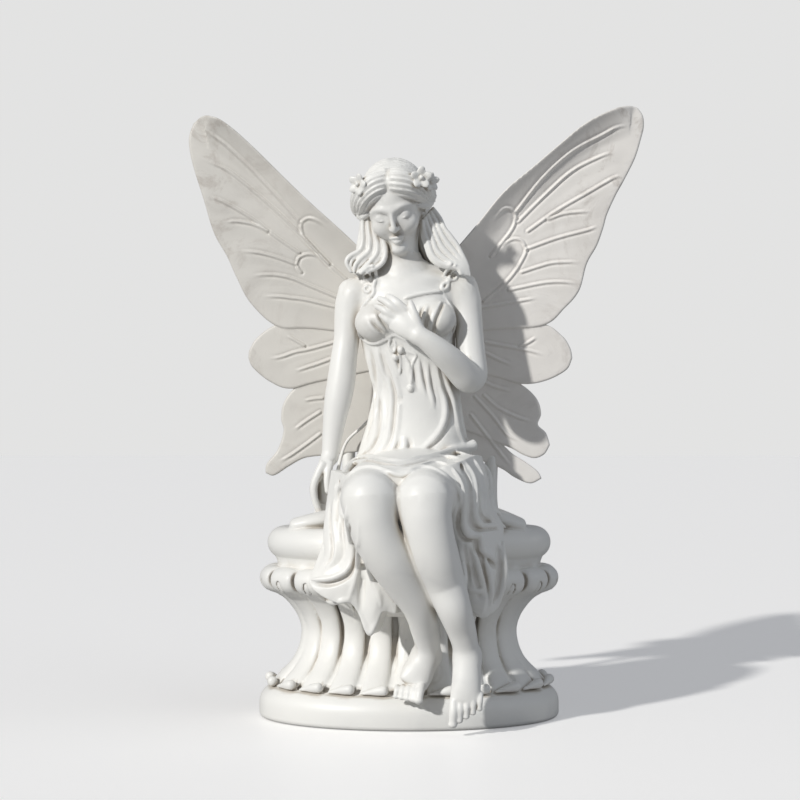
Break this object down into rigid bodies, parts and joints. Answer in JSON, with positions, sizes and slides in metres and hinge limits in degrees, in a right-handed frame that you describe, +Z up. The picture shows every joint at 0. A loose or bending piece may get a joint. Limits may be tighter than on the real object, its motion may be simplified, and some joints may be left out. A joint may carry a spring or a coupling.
{
  "type": "seated fairy garden statue",
  "caption": "White marble statue of a seated fairy with large butterfly wings, in a draped dress, on an oval seat of scrolled leaves and a low oval plinth.",
  "frame": {"origin": "centre of the plinth's flat underside", "axes": "+Z up, the figure looks along -Y, +X is the figure's left"},
  "size_m": [1.1387, 0.6464, 1.4941],
  "materials": {
    "carved_marble": "white marble, smoothly rubbed, with faint grey veins",
    "wing_marble": "white marble, greyer and more veined, smoothly rubbed"
  },
  "bodies": {
    "root": {"fairy_on_seat": "carved_marble", "left_wing": "wing_marble", "right_wing": "wing_marble"}
  },
  "joints": []
}
